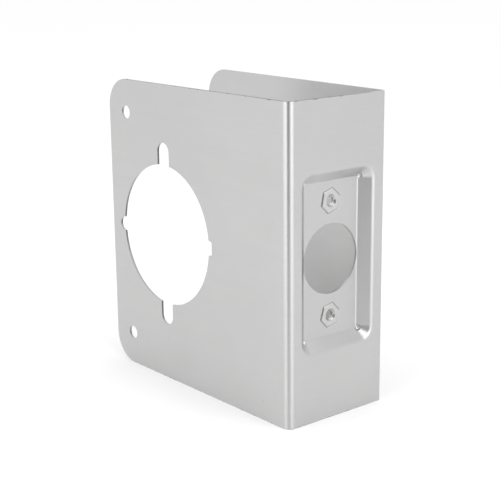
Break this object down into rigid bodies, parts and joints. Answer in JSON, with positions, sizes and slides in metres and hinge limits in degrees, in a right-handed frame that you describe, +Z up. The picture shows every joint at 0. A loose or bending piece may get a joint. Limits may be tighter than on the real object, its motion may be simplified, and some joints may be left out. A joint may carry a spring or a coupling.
{
  "type": "door wrap plate",
  "caption": "Folded sheet-steel channel that wraps a door's edge, with a slotted cross bore through both flanges and a drawn recess for the latch's faceplate.",
  "frame": {"origin": "middle of the footprint, level with the bottom cut edges", "axes": "+X out of the door's edge along the latch bore, +Y across the door's thickness, +Z up along the door's edge. The edge strip and the latch bore are centred on y = -1.85 mm, because the far flange stands 3.7 mm out of square at its free end."},
  "size_m": [0.1056, 0.0498, 0.1143],
  "materials": {
    "plate_steel": "satin stainless sheet with a fine brushed grain that runs level, round the folds",
    "nut_steel": "machined stainless steel"
  },
  "bodies": {
    "root": {"wrap_plate": "plate_steel", "upper_clinch_nut": "nut_steel", "lower_clinch_nut": "nut_steel"}
  },
  "joints": []
}
